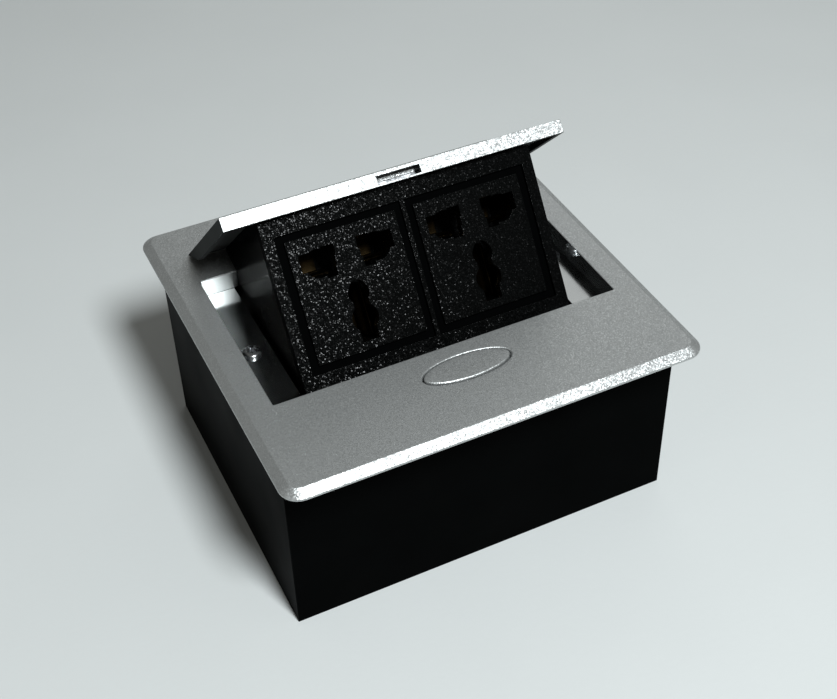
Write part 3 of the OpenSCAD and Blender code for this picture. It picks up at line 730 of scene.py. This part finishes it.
def make_contact(node, side, x, y, half, width, opens_across_x, tail_y):
    """A brass clip of width, open by half to each side, with a tail through the socket's back."""
    bm = bmesh.new()
    right = clip_path(half, 0.5, -8.0, -20.6)
    left = [Vector((-p.x, p.y)) for p in right[::-1][1:]]
    place = socket_place(side) @ Matrix.Translation((x, y, 0))
    if not opens_across_x:
        place = place @ Matrix.Rotation(math.radians(90), 4, "Z")
    add_strip(bm, right + left, 0.7, width, place)
    obj = new_object(node + "_look", bm)
    tail = bmesh.new()
    add_box(tail, (-2, tail_y - y - 0.6, -DEEP - 3.2), (2, tail_y - y + 0.6, -20.4),
            socket_place(side) @ Matrix.Translation((x, y, 0)))
    combined(obj, new_object("tail", tail), "UNION")
    finished(obj, node, 0.08, 2)
    # Deeper than CONTACT_DEEP the brass is darker still: painted shade in the socket.
    second_finish(obj, DEEP_SOCKET_SHADE_BRASS, lambda c, n: (FACE_BACK @ c).z < -CONTACT_DEEP)


def make_contacts():
    for name, side in (("left", -1), ("right", 1)):
        make_contact("live_contact_" + name, side, -POLE_X, -1, half=3.6, width=8.6,
                     opens_across_x=False, tail_y=2)
        make_contact("neutral_contact_" + name, side, POLE_X, -1, half=3.6, width=8.6,
                     opens_across_x=False, tail_y=-4)
        make_contact("earth_contact_" + name, side, 0, EARTH_Y, half=2.9, width=16.4,
                     opens_across_x=True, tail_y=-20.2)


make_plate()
make_button()
make_all_screws()
make_springs()
make_contacts()

# Every node that has no piece of its own yet is a cleaned copy of the CAD's
MADE = {n for o in bpy.context.scene.objects for n in o.get("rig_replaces", [])}
BEVELS = {"case_shell": 0.40, "lid": 0.30, "module_housing": 0.25, "face_frame": 0.15,
          "socket_left": 0.18, "socket_right": 0.18, "bracket_left": 0.2, "bracket_right": 0.2}
LOOKS = {node: refined(node, BEVELS.get(node, 0.12)) for node in sorted(set(NODES) - MADE)}
# The lid's ends and inside get a smooth silver without grains, darkened to 0.15 grey: painted shade
second_finish(LOOKS["lid"], SHADED_LID_SILVER, lambda c, n: abs(n.x) > 0.9 or (SWING_BACK.to_3x3() @ n).z < -0.5)
# Grooves round the sockets' pads
second_finish(LOOKS["face_frame"], SMOOTH_BLACK, lambda c, n: -2.5 < (FACE_BACK @ c).z < -0.3)
for side in ("bracket_left", "bracket_right"):
    LOOKS[side].data.materials[0] = SMOOTH_SILVER


# ---------------------------------------------------------------- floor

def floor_material():
    t = Tree("pale_paper")
    t.set(Base_Color=t.mix(t.noise(60, 3), (0.60, 0.62, 0.615), (0.63, 0.65, 0.645)),
          Roughness=0.85, Specular_IOR_Level=0.25)
    t.bump(t.noise(2.2, 4, 0.6), 0.05)
    return t.material


def make_floor():
    mesh = bpy.data.meshes.new("floor_mesh")
    half = 3.0      # metres
    corners = [(-half, -half, 0), (half, -half, 0), (half, half, 0), (-half, half, 0)]
    mesh.from_pydata(corners, [], [(0, 1, 2, 3)])
    mesh.materials.append(floor_material())
    obj = bpy.data.objects.new("floor", mesh)
    bpy.context.scene.collection.objects.link(obj)


make_floor()


# ---------------------------------------------------------------- light and camera

def lamp(name, place, size, watts, colour, aim):
    """A soft oval lamp at place, turned to aim. Its size is its width and depth."""
    light = bpy.data.lights.new(name, "AREA")
    light.shape = "ELLIPSE"
    light.size, light.size_y = (s * MM for s in size)
    light.energy = watts
    light.color = colour
    obj = bpy.data.objects.new(name, light)
    bpy.context.scene.collection.objects.link(obj)
    away = Vector(place) - Vector(aim)
    obj.location = Vector(place) * MM
    obj.rotation_mode = "QUATERNION"
    obj.rotation_quaternion = away.to_track_quat("Z", "Y")


# The key lamp stands where the edges of the picture's shadow put it
lamp("key", place=(32, -582, 883), size=(220, 300), watts=12.9, colour=(0.95, 1.0, 1.02), aim=(0, 260, 0))
lamp("side", place=(380, 520, 420), size=(600, 420), watts=0.38, colour=(0.97, 1.0, 1.01), aim=(60, 120, 30))

world = bpy.data.worlds.new("studio")
bpy.context.scene.world = world
world.use_nodes = True
background = world.node_tree.nodes["Background"]
background.inputs["Color"].default_value = (1.0, 1.0, 0.93, 1)
background.inputs["Strength"].default_value = 0.13

# Camera solved from the picture's edges
IMAGE_W = 837
FOCAL = 1394.65      # focal length in widths of one image dot
CAMERA_PLACE = Vector((-138.2, -305.0, 337.5)) * MM
CAMERA_AIM = Vector((0.31729, 0.68980, -0.65077))
CAMERA_ROLL = math.radians(-1.760)
camera_data = bpy.data.cameras.new("camera")
camera_data.sensor_width = 36
camera_data.lens = 36 * FOCAL / IMAGE_W
camera_data.shift_x = 0.0044
camera_data.shift_y = -0.026
camera_data.clip_start = 0.01
camera_data.clip_end = 20
camera = bpy.data.objects.new("camera", camera_data)
bpy.context.scene.collection.objects.link(camera)
bpy.context.scene.camera = camera
camera.rotation_mode = "QUATERNION"
camera.location = CAMERA_PLACE
level = CAMERA_AIM.to_track_quat("-Z", "Y")
camera.rotation_quaternion = level @ Matrix.Rotation(CAMERA_ROLL, 4, "Z").to_quaternion()

bpy.context.scene.view_settings.view_transform = "Standard"
